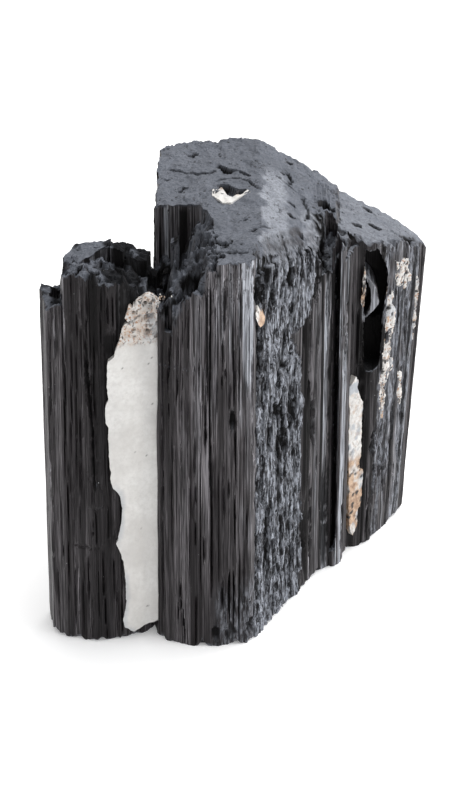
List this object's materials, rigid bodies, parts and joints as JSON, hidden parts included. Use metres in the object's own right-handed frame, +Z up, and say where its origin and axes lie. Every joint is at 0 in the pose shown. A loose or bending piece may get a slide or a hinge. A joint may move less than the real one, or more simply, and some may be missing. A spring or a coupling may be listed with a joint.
{
  "type": "tourmaline crystal",
  "caption": "Black tourmaline hand specimen: parallel striated crystal columns with white feldspar seams, standing on their broken lower ends.",
  "frame": {"origin": "middle of the footprint's bounding rectangle, on the ground that the broken lower ends stand on", "axes": "+Z up along the crystal columns, +X to the right and +Y to the back when the specimen is seen from the side with the wide feldspar seam at the left"},
  "size_m": [0.0624, 0.049, 0.0678],
  "materials": {
    "tourmaline": "vitreous to silky, vertically striated, rough where broken",
    "feldspar": "matt off-white, granular",
    "feldspar_stained": "matt off-white with brown iron stain"
  },
  "bodies": {
    "root": {"tourmaline_main": "tourmaline", "tourmaline_left": "tourmaline", "tourmaline_right": "tourmaline", "feldspar_vein_left": "feldspar", "feldspar_vein_right": "feldspar_stained", "feldspar_pocket_top": "feldspar", "feldspar_crust_upper": "feldspar", "feldspar_crust_middle": "feldspar", "feldspar_crust_edge_upper": "feldspar", "feldspar_crust_edge_lower": "feldspar", "feldspar_flake_front": "feldspar_stained", "stained_splinter": "feldspar_stained"}
  },
  "joints": []
}
